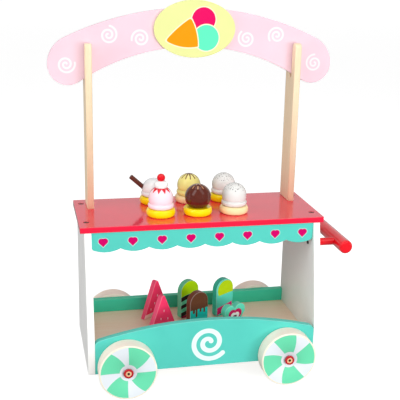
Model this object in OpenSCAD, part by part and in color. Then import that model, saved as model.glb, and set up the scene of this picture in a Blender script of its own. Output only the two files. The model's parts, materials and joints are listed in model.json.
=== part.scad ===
// Push vending cart for pretend play: a wooden counter on four wheels,
// with two side panels, an arched sign board on posts, a push handle,
// and loose ice cream scoops, lollies and melon slices.
// Millimetres, +Z up, floor at zero. X runs along the cart towards the
// handle, Y runs from the serving side to the back.

/* [Counter] */
// length of the counter board
counter_length = 500; // [400:1:700]
// depth of the counter board
counter_depth = 196; // [180:1:280]
// thickness of the counter board
counter_thickness = 12; // [9:0.5:18]
// height of the counter top above the floor
counter_height = 339; // [320:1:420]
// distance of a side panel's outer face from the counter's end
panel_inset = 8; // [4:0.5:20]
// radius of a countersunk screw head in the counter
counter_screw_head_radius = 5; // [3:0.1:6]

/* [Side panels] */
// thickness of a side panel
panel_thickness = 14; // [10:0.5:20]
// height of the panels' bottom edge above the floor
panel_bottom = 43; // [35:1:60]
// how far the panels reach forward of the counter's front edge
panel_foot_reach = 39.5; // [20:0.5:60]
// height where the slanted front edge ends and the upright part starts
panel_knee_height = 117; // [90:1:140]
// how far the counter overhangs the panels at the back
back_overhang = 4; // [0:0.5:20]

/* [Boards between the panels] */
// thickness of the front panel and of the back rail
board_thickness = 14; // [10:0.5:18]
// height of the arched front panel at its middle
front_panel_height = 101; // [80:1:130]
// radius of the arched top edge of the front panel
front_arch_radius = 855; // [700:5:1200]
// radius of the front panel's upper corners
front_corner_radius = 12; // [6:0.5:20]
// height of the straight back rail
back_rail_height = 67; // [50:1:90]
// height of the shelf's upper face above the floor
shelf_height = 81; // [70:1:100]
// thickness of the shelf board
shelf_thickness = 12; // [6:0.5:15]

/* [Scalloped valance] */
// number of scallops along the valance
scallop_count = 8; // [4:1:10]
// height of the valance from the counter to a scallop's lowest point
valance_height = 41.5; // [35:0.5:60]
// height from a scallop's lowest point up to the cusp beside it
scallop_depth = 7; // [4:0.5:12]
// thickness of the valance board
valance_thickness = 10; // [6:0.5:14]
// how far the valance stands behind the counter's front edge
valance_setback = 1.5; // [0:0.5:10]
// radius of the valance's two lower corners
valance_corner_radius = 6; // [3:0.5:8]

/* [Posts and arched board] */
// width of a post along the cart
post_width = 14; // [10:0.5:20]
// depth of a post
post_depth = 57; // [45:0.5:70]
// distance of a post's outer side from the counter's end
post_inset = 25; // [15:0.5:50]
// distance of the posts' back edge from the counter's back edge
post_setback = 15.8; // [5:0.1:40]
// height of the posts above the counter
post_height = 340; // [300:1:420]
// thickness of the arched board
arch_thickness = 12; // [9:0.5:16]
// gap between the front tongue of a post and the arched board
fork_gap = 1.2; // [0.6:0.1:2]
// radius of the rounded top of a post's front tongue
tongue_radius = 10; // [4:0.5:10.5]
// distance from the middle of the arched board to its rounded end
arch_half_length = 298; // [280:1:330]
// height of the arched board's top edge above the counter
arch_top = 410; // [390:1:440]
// radius of the arched board's upper edge
arch_outer_radius = 610; // [560:1:700]
// radius of the arched board's lower edge
arch_inner_radius = 429; // [400:1:470]
// height of the lower edge's middle above the counter
arch_underside = 332; // [320:1:350]
// radius of an end's upper corner
arch_shoulder_radius = 60; // [50:1:70]

/* [Oval sign] */
// width of the oval sign
sign_width = 169; // [120:1:200]
// height of the oval sign
sign_height = 116; // [80:1:130]
// thickness of the oval sign
sign_thickness = 6; // [3:0.5:12]
// height of the sign's centre above the counter
sign_centre_height = 368; // [350:1:390]

/* [Wheels] */
// radius of a wheel
wheel_radius = 58; // [50:0.5:62]
// thickness of a wheel
wheel_thickness = 32; // [20:0.5:36]
// distance of the wheel axles from the cart's middle
wheel_offset = 165.8; // [120:0.1:165.8]
// radius of the axle screws' shank
axle_radius = 4; // [3:0.1:6]
// radial clearance of a wheel on its axle
axle_clearance = 0.08; // [0.05:0.01:0.1]
// gap on either side of a wheel
wheel_side_gap = 0.5; // [0.3:0.1:1.5]
// radius of a hub cap
hub_cap_radius = 10.5; // [9:0.1:14]
// thickness of a hub cap
hub_cap_thickness = 5; // [4:0.1:8]

/* [Push handle] */
// radius of the handle bar
handle_radius = 14.3; // [10:0.1:18]
// length of the handle bar
handle_length = 235; // [180:1:260]
// distance of the bar's axis from the side panel
handle_reach = 54; // [40:1:80]
// height of the bar's axis above the floor
handle_height = 276; // [240:1:290]
// radius of a handle strut
strut_radius = 8; // [6:0.1:10]
// distance between the two struts
strut_spacing = 144; // [100:1:170]

/* [Ice cream scoops] */
// radius of a scoop's turned base
base_radius = 30; // [24:0.5:34]
// height of a scoop's turned base
base_height = 16; // [10:0.5:20]
// radius of a scoop's dome
scoop_radius = 25.2; // [20:0.1:27]
// radius of the chocolate ball
ball_radius = 27; // [22:0.1:30]
// distance between neighbouring scoops along the counter
scoop_spacing = 77; // [68:1:90]
// distance between the two rows of scoops
scoop_row_spacing = 93; // [68:1:95]

/* [Shelf goods] */
// width of a lolly
lolly_width = 47; // [36:0.5:56]
// height of a lolly
lolly_height = 85; // [60:1:100]
// thickness of the lollies and the heart
good_thickness = 15; // [9:0.5:18]
// angle the lollies are turned about the vertical
good_turn = 25; // [0:1:40]
// width of a melon slice at its rind
melon_width = 80; // [50:1:82]
// height of a melon slice
melon_height = 84.5; // [60:0.5:100]
// thickness of a melon slice
melon_thickness = 12; // [9:0.5:14]
// angle the back melon slice is turned about the vertical
melon_turn_back = 38; // [20:1:39]
// angle the front melon slice is turned about the vertical
melon_turn_front = 34; // [0:1:45]

/* [Hidden] */
// lower side of the counter board
counter_bottom = counter_height - counter_thickness;
// counter's front and back edge
counter_front = -counter_depth / 2;
counter_back = counter_depth / 2;
// faces of the side panels
panel_outer = counter_length / 2 - panel_inset;
panel_inner = panel_outer - panel_thickness;
// the front panel's face, where the panels' upright part stands
panel_front = counter_front - panel_foot_reach;
panel_back = counter_back - back_overhang;
// axle height: the wheels touch the floor
axle_height = wheel_radius;
// back and front of the whole cart, and its length, for centring
cap_stack = 2 * wheel_side_gap + wheel_thickness + hub_cap_thickness;
front_extent = panel_front - cap_stack;
back_extent = panel_back + cap_stack;
handle_axis = panel_outer + handle_reach;
handle_end = handle_axis + handle_radius;
shift_x = (arch_half_length - handle_end) / 2;
shift_y = -(front_extent + back_extent) / 2;
// board ends meet the panels' inner faces
board_length = 2 * panel_inner;
// post and arch positions
post_back = counter_back - post_setback;
post_front = post_back - post_depth;
post_middle = (post_back + post_front) / 2;
arch_front = post_middle - arch_thickness / 2;
arch_back = arch_front + arch_thickness;
post_outer = counter_length / 2 - post_inset;
post_inner = post_outer - post_width;
// arcs of the arched board, heights above the counter
arch_outer_centre = arch_top - arch_outer_radius;
arch_inner_centre = arch_underside - arch_inner_radius;
shoulder_x = arch_half_length - arch_shoulder_radius;
shoulder_z = arch_outer_centre
    + sqrt(pow(arch_outer_radius - arch_shoulder_radius, 2) - pow(shoulder_x, 2));
// the lobe under the shoulder is tangent to the inner arc
lobe_rise = shoulder_z - arch_inner_centre;
lobe_radius = (pow(arch_half_length, 2) + pow(lobe_rise, 2) - pow(arch_inner_radius, 2))
    / (2 * (arch_half_length + arch_inner_radius));
lobe_x = arch_half_length - lobe_radius;
// lowest point of the lower arc over a post's outer side
slot_floor = arch_inner_centre
    + sqrt(pow(arch_inner_radius, 2) - pow(post_outer, 2)) - 0.4;
// screws of the counter stand over the side panels
screw_x = (panel_outer + panel_inner) / 2;
screw_y_front = counter_front + 36;
screw_y_back = counter_back - 30;
screw_shank = 2;
screw_length = 38;
screw_clearance = 0.05;
// handle bolts
bolt_head_radius = 4;
bolt_head_height = 2.4;
bolt_radius = 2.5;
bolt_length = panel_thickness + 24;
// scoop places on the counter
scoop_front_row = -37;
scoop_back_row = scoop_front_row + scoop_row_spacing;
scoop_middle = -4;
flange_radius = scoop_radius + 2;
flange_height = 12;
dome_rise = 9;
ball_lift = base_height + ball_radius - 6.5;
cream_radius = 14;
cream_bulge = 8.8;
cream_lift = 2.3;
cherry_radius = 8.4;
cherry_sink = 2.5;
stick_radius = 4.9;
stick_length = 58;
stick_rise = 42;
stick_inset = 6.6;
stick_lift = 4.6;
topping_gap = 0.1;
// lolly and slice shapes
lolly_top_radius = lolly_width / 2;
heart_lobe = 14.5;
heart_height = 54;
slice_tip = 5;
// facets of the oval, of the front panel's corners and of its arched edge
outline_steps = 180;
corner_steps = 8;
crown_steps = 48;
big = 1000;
eps = 0.01;

// moves cart coordinates so that the whole cart is centred on the origin
module place() {
    translate([shift_x, shift_y, 0]) children();
}

// extrudes a drawing in the X-Z plane from depth y towards the back
module upright(y, thickness) {
    translate([0, y + thickness, 0]) rotate([90, 0, 0]) linear_extrude(thickness) children();
}

// extrudes a drawing in the Y-Z plane from x towards the handle
module crosswise(x, thickness) {
    translate([x, 0, 0]) rotate([90, 0, 90]) linear_extrude(thickness) children();
}

// a rod along Y from depth y towards the back
module rod_y(x, y, z, radius, length) {
    translate([x, y + length, z]) rotate([90, 0, 0]) cylinder(r = radius, h = length);
}

// a rod along X from x towards the handle
module rod_x(x, y, z, radius, length) {
    translate([x, y, z]) rotate([0, 90, 0]) cylinder(r = radius, h = length);
}

module counter_screw_places() {
    for (side = [-1, 1]) {
        translate([side * screw_x, screw_y_front, counter_height]) children();
        translate([side * screw_x, screw_y_back, counter_height]) children();
    }
}

// countersunk screw with its head flush at zero, pointing down
module countersunk(head, shank, length) {
    rotate_extrude() polygon([
        [0, 0], [head, 0], [head, -0.6], [shank, -0.6 - (head - shank)],
        [shank, 2 * shank - length], [0, -length]
    ]);
}

module counter_top() {
    color("crimson") place() difference() {
        translate([-counter_length / 2, counter_front, counter_bottom])
            cube([counter_length, counter_depth, counter_thickness]);
        counter_screw_places() translate([0, 0, eps])
            countersunk(counter_screw_head_radius + screw_clearance,
                screw_shank + screw_clearance, screw_length + 1);
    }
}

module counter_screws() {
    color("dimgray") place() counter_screw_places()
        countersunk(counter_screw_head_radius, screw_shank, screw_length);
}

module panel_outline() {
    polygon([
        [counter_front, counter_bottom], [panel_front, panel_knee_height],
        [panel_front, panel_bottom], [panel_back, panel_bottom],
        [panel_back, counter_bottom]
    ]);
}

module side_panel(side) {
    difference() {
        crosswise(side > 0 ? panel_inner : -panel_outer, panel_thickness) panel_outline();
        counter_screw_places() translate([0, 0, -screw_length - 1])
            cylinder(r = screw_shank + screw_clearance, h = screw_length);
        if (side > 0)
            for (end = [-1, 1])
                rod_x(panel_inner - 1, end * strut_spacing / 2, handle_height,
                    bolt_radius + screw_clearance, panel_thickness + 2);
    }
}

module side_panel_left() {
    color("white") place() side_panel(-1);
}

module side_panel_right() {
    color("white") place() side_panel(1);
}

module shelf_board() {
    color("burlywood") place()
        translate([-panel_inner, panel_front + board_thickness, shelf_height - shelf_thickness])
            cube([board_length, panel_back - panel_front - 2 * board_thickness,
                shelf_thickness]);
}

// arched outline of the front panel, an arc between rounded corners, zero at its bottom
module front_outline() {
    arc_centre = front_panel_height - front_arch_radius;
    corner_x = panel_inner - front_corner_radius;
    inner_r = front_arch_radius - front_corner_radius;
    lean = acos(corner_x / inner_r);
    corner_z = arc_centre + inner_r * sin(lean);
    corner = [for (i = [0 : corner_steps]) let(a = lean * i / corner_steps)
        [corner_x + front_corner_radius * cos(a), corner_z + front_corner_radius * sin(a)]];
    crown = [for (i = [1 : crown_steps - 1]) let(a = lean + (180 - 2 * lean) * i / crown_steps)
        [front_arch_radius * cos(a), arc_centre + front_arch_radius * sin(a)]];
    left = [for (i = [corner_steps : -1 : 0]) [-corner[i][0], corner[i][1]]];
    polygon(concat([[-panel_inner, 0], [panel_inner, 0]], corner, crown, left));
}

module axle_holes(y, length) {
    for (side = [-1, 1])
        rod_y(side * wheel_offset, y, axle_height, axle_radius + screw_clearance, length);
}

module front_panel() {
    color("turquoise") place() difference() {
        upright(panel_front, board_thickness) translate([0, panel_bottom]) front_outline();
        axle_holes(panel_front - 1, board_thickness + 2);
    }
}

module back_rail() {
    color("seagreen") place() difference() {
        translate([-panel_inner, panel_back - board_thickness, panel_bottom])
            cube([board_length, board_thickness, back_rail_height]);
        axle_holes(panel_back - board_thickness - 1, board_thickness + 2);
    }
}

// scallops hanging from the counter, exact arcs
module valance_outline() {
    pitch = board_length / scallop_count;
    scallop_radius = (pow(pitch / 2, 2) + pow(scallop_depth, 2)) / (2 * scallop_depth);
    low = counter_bottom - valance_height;
    corner_x = panel_inner - valance_corner_radius;
    corner_drop = sqrt(pow(scallop_radius, 2) - pow(pitch / 2 - valance_corner_radius, 2));
    corner_z = low + scallop_radius - corner_drop + valance_corner_radius;
    intersection() {
        union() for (i = [0 : scallop_count - 1])
            intersection() {
                translate([-panel_inner + (i + 0.5) * pitch, low + scallop_radius])
                    circle(r = scallop_radius);
                translate([-panel_inner + i * pitch - eps, low])
                    square([pitch + 2 * eps, valance_height]);
            }
        union() {
            translate([-corner_x, low]) square([2 * corner_x, valance_height]);
            translate([-panel_inner, corner_z])
                square([board_length, counter_bottom - corner_z]);
            for (side = [-1, 1])
                translate([side * corner_x, corner_z]) circle(r = valance_corner_radius);
        }
    }
}

module valance() {
    color("turquoise") place()
        upright(counter_front + valance_setback, valance_thickness) valance_outline();
}

// forked post: a slot open at the top takes the arched board
module post_outline() {
    slot_front = arch_front - fork_gap;
    top = counter_height + post_height;
    union() {
        translate([post_front, counter_height])
            square([post_depth, slot_floor]);
        translate([post_front, counter_height + slot_floor - eps])
            square([slot_front - post_front, post_height - slot_floor - tongue_radius + eps]);
        translate([post_front + tongue_radius, top - tongue_radius])
            circle(r = tongue_radius);
        translate([slot_front - tongue_radius, top - tongue_radius])
            circle(r = tongue_radius);
        translate([post_front + tongue_radius, top - tongue_radius])
            square([slot_front - post_front - 2 * tongue_radius, tongue_radius]);
        translate([arch_back, counter_height + slot_floor - eps])
            square([post_back - arch_back, post_height - slot_floor - tongue_radius + eps]);
        translate([post_back - tongue_radius, top - tongue_radius])
            circle(r = tongue_radius);
        translate([arch_back, top - tongue_radius])
            square([post_back - arch_back - tongue_radius, tongue_radius]);
    }
}

module post_left() {
    color("wheat") place() crosswise(-post_outer, post_width) post_outline();
}

module post_right() {
    color("wheat") place() crosswise(post_inner, post_width) post_outline();
}

// arched board with lobed ends, tangent arcs all round
module arch_outline() {
    inner_r = arch_outer_radius - arch_shoulder_radius;
    join_x = shoulder_x * arch_outer_radius / inner_r;
    join_z = arch_outer_centre
        + (shoulder_z - arch_outer_centre) * arch_outer_radius / inner_r;
    span = arch_inner_radius + lobe_radius;
    foot_x = lobe_x * arch_inner_radius / span;
    foot_z = arch_inner_centre
        + (shoulder_z - arch_inner_centre) * arch_inner_radius / span;
    difference() {
        union() {
            intersection() {
                translate([0, arch_outer_centre]) circle(r = arch_outer_radius, $fn = 256);
                polygon([
                    [-foot_x, foot_z], [foot_x, foot_z], [join_x, join_z],
                    [join_x, arch_top + 10], [-join_x, arch_top + 10], [-join_x, join_z]
                ]);
            }
            for (side = [-1, 1]) {
                intersection() {
                    translate([side * shoulder_x, shoulder_z])
                        circle(r = arch_shoulder_radius);
                    translate([side * shoulder_x - 2 * arch_shoulder_radius, shoulder_z])
                        square(4 * arch_shoulder_radius);
                }
                translate([side * lobe_x, shoulder_z]) circle(r = lobe_radius);
            }
        }
        translate([0, arch_inner_centre]) circle(r = arch_inner_radius, $fn = 256);
    }
}

module arch_board() {
    color("pink") place()
        upright(arch_front, arch_thickness) translate([0, counter_height]) arch_outline();
}

module oval_sign() {
    color("khaki") place()
        upright(arch_front - sign_thickness, sign_thickness)
            translate([0, counter_height + sign_centre_height])
                polygon([for (i = [0 : outline_steps - 1])
                    let(a = 360 * i / outline_steps)
                        [sign_width / 2 * cos(a), sign_height / 2 * sin(a)]]);
}

module handle_bar() {
    rounding = 6;
    color("red") place()
        translate([handle_axis, handle_length / 2, handle_height]) rotate([90, 0, 0])
            rotate_extrude() union() {
                square([handle_radius - rounding, handle_length]);
                translate([0, rounding]) square([handle_radius, handle_length - 2 * rounding]);
                for (end = [rounding, handle_length - rounding])
                    translate([handle_radius - rounding, end]) intersection() {
                        circle(r = rounding);
                        translate([-rounding / 2, -rounding]) square(2 * rounding);
                    }
            }
}

module handle_struts() {
    color("red") place() difference() {
        for (end = [-1, 1])
            rod_x(panel_outer, end * strut_spacing / 2, handle_height, strut_radius,
                handle_reach);
        rod_y(handle_axis, -handle_length / 2, handle_height, handle_radius, handle_length);
        for (end = [-1, 1])
            rod_x(panel_outer - 1, end * strut_spacing / 2, handle_height,
                bolt_radius + screw_clearance, bolt_length - panel_thickness + 2);
    }
}

module handle_bolts() {
    color("dimgray") place() for (end = [-1, 1]) {
        rod_x(panel_inner - bolt_head_height, end * strut_spacing / 2, handle_height,
            bolt_head_radius, bolt_head_height);
        rod_x(panel_inner - bolt_head_height, end * strut_spacing / 2, handle_height,
            bolt_radius, bolt_length + bolt_head_height);
    }
}

// children are drawn about the axle with +Z pointing out of the cart
module at_axles(back) {
    for (side = [-1, 1])
        translate([side * wheel_offset, back ? panel_back : panel_front, axle_height])
            rotate([back ? -90 : 90, 0, 0]) children();
}

// turned wheel with rounded edges, standing off the board by the side gap
module wheel(side, back) {
    rounding = 2;
    translate([side * wheel_offset, back ? panel_back : panel_front, axle_height])
        rotate([back ? -90 : 90, 0, 0])
            translate([0, 0, wheel_side_gap])
                rotate_extrude() polygon([
                    [axle_radius + axle_clearance, 0],
                    [wheel_radius - rounding, 0],
                    for (a = [-75 : 15 : 0])
                        [wheel_radius - rounding + rounding * cos(a),
                            rounding + rounding * sin(a)],
                    for (a = [0 : 15 : 75])
                        [wheel_radius - rounding + rounding * cos(a),
                            wheel_thickness - rounding + rounding * sin(a)],
                    [wheel_radius - rounding, wheel_thickness],
                    [axle_radius + axle_clearance, wheel_thickness]
                ]);
}

module wheel_front_left() {
    color("palegreen") place() wheel(-1, false);
}

module wheel_front_right() {
    color("palegreen") place() wheel(1, false);
}

module wheel_back_left() {
    color("palegreen") place() wheel(-1, true);
}

module wheel_back_right() {
    color("palegreen") place() wheel(1, true);
}

// shank from inside the board to the cap, with a small head in the cap
module axle_screws() {
    head = 2.6;
    out = cap_stack - hub_cap_thickness;
    color("dimgray") place() for (back = [false, true]) at_axles(back) {
        translate([0, 0, -board_thickness])
            cylinder(r = axle_radius, h = out + board_thickness);
        translate([0, 0, out - eps]) cylinder(r = head, h = hub_cap_thickness - 1.2);
    }
}

module hub_caps() {
    rounding = 1.8;
    well = 4.8;
    out = cap_stack - hub_cap_thickness;
    t = hub_cap_thickness;
    r = hub_cap_radius;
    color("red") place() for (back = [false, true]) at_axles(back)
        translate([0, 0, out]) difference() {
            rotate_extrude() polygon([
                [0, 0], [r, 0], [r, t - rounding],
                for (a = [15 : 15 : 75])
                    [r - rounding + rounding * cos(a), t - rounding + rounding * sin(a)],
                [r - rounding, t], [well, t], [well - 0.6, t - 1.6], [0, t - 1.6]
            ]);
            translate([0, 0, -1])
                cylinder(r = 2.6 + screw_clearance, h = t + 2);
        }
}

// turned base with a full round rim; a dish takes the ball
module scoop_base(x, y) {
    rim = base_height / 2;
    translate([x, y, counter_height]) rotate_extrude() polygon([
        [0, 0], [base_radius - rim * 0.45, 0],
        for (a = [-60 : 15 : 60])
            [base_radius - rim * 0.45 + rim * 0.45 * (cos(a) - 0.5) / 0.5,
                rim + rim * sin(a) / 0.8660254 * 0.96],
        [base_radius - rim * 0.45, base_height], [0, base_height]
    ]);
}

// dome standing on a rounded flange
module dome(x, y, rise) {
    bulge = flange_height / 2;
    start = base_height + flange_height;
    translate([x, y, counter_height]) rotate_extrude() union() {
        translate([0, base_height]) square([flange_radius - bulge, flange_height]);
        translate([flange_radius - bulge, base_height + bulge]) circle(r = bulge);
        translate([0, start - eps]) square([scoop_radius, rise + eps]);
        intersection() {
            translate([0, start + rise]) circle(r = scoop_radius);
            translate([0, start + rise]) square(scoop_radius + 1);
        }
    }
}

scoop_left = scoop_middle - scoop_spacing;
scoop_right = scoop_middle + scoop_spacing;
dome_top = base_height + flange_height + dome_rise + scoop_radius;

module base_strawberry() {
    color("gold") place() scoop_base(scoop_left, scoop_front_row);
}

module scoop_strawberry() {
    color("pink") place() dome(scoop_left, scoop_front_row, dome_rise);
}

cream_centre = counter_height + dome_top + cream_lift;
cherry_centre = cream_centre + cream_bulge + cherry_radius - cherry_sink;

// dollop of cream with a fully round side, grown by extra
module cream_shape(extra) {
    bulge = cream_bulge + extra;
    flat = cream_radius - cream_bulge;
    translate([scoop_left, scoop_front_row, cream_centre]) rotate_extrude() union() {
        translate([0, -bulge]) square([flat, 2 * bulge]);
        intersection() {
            translate([flat, 0]) circle(r = bulge);
            translate([flat - eps, -bulge]) square([bulge + eps, 2 * bulge]);
        }
    }
}

module cream_dollop() {
    color("white") place() difference() {
        cream_shape(0);
        translate([scoop_left, scoop_front_row,
            counter_height + dome_top - scoop_radius]) sphere(r = scoop_radius + topping_gap);
    }
}

module cherry() {
    color("red") place() difference() {
        translate([scoop_left, scoop_front_row, cherry_centre]) sphere(r = cherry_radius);
        cream_shape(topping_gap);
    }
}

module base_chocolate() {
    color("gold") place() difference() {
        scoop_base(scoop_middle, scoop_front_row);
        translate([scoop_middle, scoop_front_row, counter_height + ball_lift])
            sphere(r = ball_radius + topping_gap);
    }
}

module scoop_chocolate() {
    color("saddlebrown") place()
        translate([scoop_middle, scoop_front_row, counter_height + ball_lift])
            sphere(r = ball_radius);
}

module base_vanilla() {
    color("navajowhite") place() scoop_base(scoop_right, scoop_front_row);
}

module scoop_vanilla() {
    color("white") place() dome(scoop_right, scoop_front_row, dome_rise + 1);
}

module base_lemon() {
    color("navajowhite") place() scoop_base(scoop_middle, scoop_back_row);
}

module scoop_lemon() {
    color("khaki") place() dome(scoop_middle, scoop_back_row, dome_rise);
}

module base_coconut() {
    color("gold") place() scoop_base(scoop_left, scoop_back_row);
}

// flake stick leaning out of the dome to the left
module stick(extra) {
    translate([scoop_left - stick_inset, scoop_back_row, counter_height + base_height + stick_lift])
        rotate([0, stick_rise - 90, 0])
            cylinder(r = stick_radius + extra, h = stick_length);
}

module scoop_coconut() {
    color("white") place() difference() {
        dome(scoop_left, scoop_back_row, 1);
        stick(topping_gap);
    }
}

module chocolate_stick() {
    color("saddlebrown") place() stick(0);
}

module base_stracciatella() {
    color("gold") place() scoop_base(scoop_right, scoop_back_row);
}

module scoop_stracciatella() {
    color("white") place() dome(scoop_right, scoop_back_row, dome_rise - 1);
}

// stands a good on the shelf with the middle of its front face at x, y
module on_shelf(x, y, turn, thickness) {
    translate([x, y, shelf_height]) rotate([0, 0, turn])
        rotate([90, 0, 0]) translate([0, 0, -thickness])
            linear_extrude(thickness) children();
}

// slice of melon: a wedge standing on its rind, with a rounded tip
module melon_slice() {
    slope = (melon_width / 2 - slice_tip) / (melon_height - slice_tip);
    union() {
        polygon([
            [-melon_width / 2, 0], [melon_width / 2, 0],
            [slice_tip, melon_height - slice_tip], [-slice_tip, melon_height - slice_tip]
        ]);
        intersection() {
            translate([0, melon_height - slice_tip - slope * slice_tip])
                circle(r = slice_tip * sqrt(1 + slope * slope));
            translate([-slice_tip, melon_height - slice_tip - eps])
                square(2 * slice_tip);
        }
    }
}

module melon_back() {
    color("hotpink") place() on_shelf(-74, 44, melon_turn_back, melon_thickness) melon_slice();
}

module melon_front() {
    color("hotpink") place() on_shelf(-74, -41, melon_turn_front, melon_thickness) melon_slice();
}

module lolly_outline() {
    straight = lolly_height - lolly_top_radius;
    foot = 5;
    union() {
        translate([0, straight]) circle(r = lolly_top_radius);
        translate([-lolly_top_radius, foot])
            square([lolly_width, straight - foot]);
        translate([foot - lolly_top_radius, 0])
            square([lolly_width - 2 * foot, foot]);
        for (side = [-1, 1])
            translate([side * (lolly_top_radius - foot), foot]) circle(r = foot);
    }
}

module lolly_striped() {
    color("yellowgreen") place() on_shelf(-4, 22.4, good_turn, good_thickness) lolly_outline();
}

module lolly_dipped() {
    color("saddlebrown") place() on_shelf(2.5, -44.3, good_turn, good_thickness) lolly_outline();
}

module lolly_lime() {
    color("lightseagreen") place() on_shelf(74.7, 20.5, good_turn, good_thickness) lolly_outline();
}

// heart of two lobes and a body, standing on its blunt tip
module lolly_heart() {
    lobe_z = heart_height - heart_lobe;
    lobe_x2 = heart_lobe - 1.5;
    color("aquamarine") place() on_shelf(80, -52, good_turn, good_thickness) union() {
        for (side = [-1, 1])
            translate([side * lobe_x2, lobe_z]) circle(r = heart_lobe);
        polygon([
            [-lobe_x2 - heart_lobe * cos(20), lobe_z - heart_lobe * sin(20)],
            [-9, 0], [9, 0],
            [lobe_x2 + heart_lobe * cos(20), lobe_z - heart_lobe * sin(20)],
            [lobe_x2, lobe_z + 4], [0, lobe_z + 8], [-lobe_x2, lobe_z + 4]
        ]);
    }
}

counter_top();
side_panel_left();
side_panel_right();
shelf_board();
front_panel();
back_rail();
valance();
post_left();
post_right();
arch_board();
oval_sign();
handle_bar();
handle_struts();
handle_bolts();
counter_screws();
axle_screws();
hub_caps();
wheel_front_left();
wheel_front_right();
wheel_back_left();
wheel_back_right();
base_strawberry();
scoop_strawberry();
cream_dollop();
cherry();
base_chocolate();
scoop_chocolate();
base_vanilla();
scoop_vanilla();
base_lemon();
scoop_lemon();
base_coconut();
scoop_coconut();
chocolate_stick();
base_stracciatella();
scoop_stracciatella();
melon_back();
melon_front();
lolly_striped();
lolly_dipped();
lolly_lime();
lolly_heart();
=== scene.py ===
"""Push vending cart: painted boards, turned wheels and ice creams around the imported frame."""

import json

import bpy
import numpy as np
from mathutils import Matrix, Vector
from mathutils.geometry import tessellate_polygon


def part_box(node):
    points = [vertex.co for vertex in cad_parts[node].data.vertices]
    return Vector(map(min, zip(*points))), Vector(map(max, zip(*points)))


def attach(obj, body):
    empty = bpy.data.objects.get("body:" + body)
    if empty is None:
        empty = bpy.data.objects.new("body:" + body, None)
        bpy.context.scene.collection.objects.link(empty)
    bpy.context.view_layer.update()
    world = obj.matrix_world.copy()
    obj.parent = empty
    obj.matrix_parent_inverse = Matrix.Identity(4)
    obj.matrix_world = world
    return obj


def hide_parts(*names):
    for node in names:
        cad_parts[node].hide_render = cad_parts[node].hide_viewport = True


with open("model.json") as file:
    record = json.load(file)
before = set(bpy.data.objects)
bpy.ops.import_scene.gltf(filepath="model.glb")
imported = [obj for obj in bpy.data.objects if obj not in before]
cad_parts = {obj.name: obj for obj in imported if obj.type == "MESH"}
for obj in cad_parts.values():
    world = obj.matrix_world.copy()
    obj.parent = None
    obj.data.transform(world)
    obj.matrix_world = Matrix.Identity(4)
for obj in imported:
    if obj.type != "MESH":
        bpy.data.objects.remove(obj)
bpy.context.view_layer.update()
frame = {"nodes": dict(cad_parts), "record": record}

MM = 0.001
X, Y, Z = np.eye(3)


# ---- places from the frame

def span(node):
    """Lowest and highest corner of a CAD node, as arrays in metres."""
    low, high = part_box(node)
    return np.array(low), np.array(high)


def body_of(node):
    """Name of the body that a CAD node belongs to."""
    groups = frame["record"]["behaviour"]["bodies"]
    return next(body for body, nodes in groups.items() if node in nodes)


def middle(node):
    """Centre of a CAD node's box."""
    low, high = span(node)
    return (low + high) / 2


# ---- outlines

def arc(centre, radius, start, end, steps):
    """Points centre + radius (cos a, sin a), with a running from start to end degrees."""
    a = np.radians(np.linspace(start, end, steps + 1))
    return np.asarray(centre) + radius * np.column_stack([np.cos(a), np.sin(a)])


def rounded(corners, radius, steps=5):
    """A polygon whose corners are turned into arcs tangent to both sides.

    At a corner with unit directions p and n to its neighbours, the arc's centre lies along
    p + n, and its ends are radius / tan(half the corner's angle) away along each side."""
    corners = np.asarray(corners, float)
    radius = np.broadcast_to(radius, len(corners))[:, None]
    p = np.roll(corners, 1, 0) - corners
    n = np.roll(corners, -1, 0) - corners
    p /= np.linalg.norm(p, axis=1)[:, None]
    n /= np.linalg.norm(n, axis=1)[:, None]
    half = np.arccos(np.clip((p * n).sum(1), -1, 1))[:, None] / 2
    reach = radius / np.tan(half)
    bisector = (p + n) / np.linalg.norm(p + n, axis=1)[:, None]
    centre = corners + bisector * radius / np.sin(half)
    first = corners + p * reach - centre
    last = corners + n * reach - centre
    t = np.linspace(0, 1, steps + 1)[None, :, None]
    turn = (np.pi - 2 * half)[:, :, None]
    blend = np.sin((1 - t) * turn) / np.sin(turn) * first[:, None]
    blend = blend + np.sin(t * turn) / np.sin(turn) * last[:, None]
    return (centre[:, None] + blend).reshape(-1, 2)


def rectangle(low, high, radius=1 * MM):
    """A rectangle between two corners, its own corners slightly rounded."""
    return rounded([low, (high[0], low[1]), high, (low[0], high[1])], radius)


def path(*parts):
    """One outline or profile from single points and runs of points."""
    return np.concatenate([np.atleast_2d(part) for part in parts])


def circle(centre, radius, steps=48):
    """Points evenly spaced round a circle, counterclockwise."""
    return arc(centre, radius, 0, 360, steps)[:-1]


def outward(outline):
    """Mitred outward direction at each point of a counterclockwise outline.

    With unit normals a and b of the two sides that meet, it is (a + b) / (1 + a.b)."""
    side = np.roll(outline, -1, 0) - outline
    side /= np.linalg.norm(side, axis=1)[:, None]
    b = np.column_stack([side[:, 1], -side[:, 0]])
    a = np.roll(b, 1, 0)
    return (a + b) / (1 + (a * b).sum(1))[:, None]


# ---- meshes

def new_piece(name, points, faces, normals=None, edge=None):
    """A mesh object at the origin from points in metres, with smooth shading."""
    mesh = bpy.data.meshes.new(name)
    mesh.from_pydata(np.asarray(points).tolist(), [], faces)
    mesh.shade_smooth()
    if edge is not None:
        wear = mesh.attributes.new("edge", "FLOAT", "POINT")
        wear.data.foreach_set("value", np.asarray(edge, np.float32))
    mesh.update()
    if normals is not None:
        mesh.normals_split_custom_set_from_vertices(np.asarray(normals).tolist())
    piece = bpy.data.objects.new(name, mesh)
    bpy.context.scene.collection.objects.link(piece)
    return piece


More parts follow.
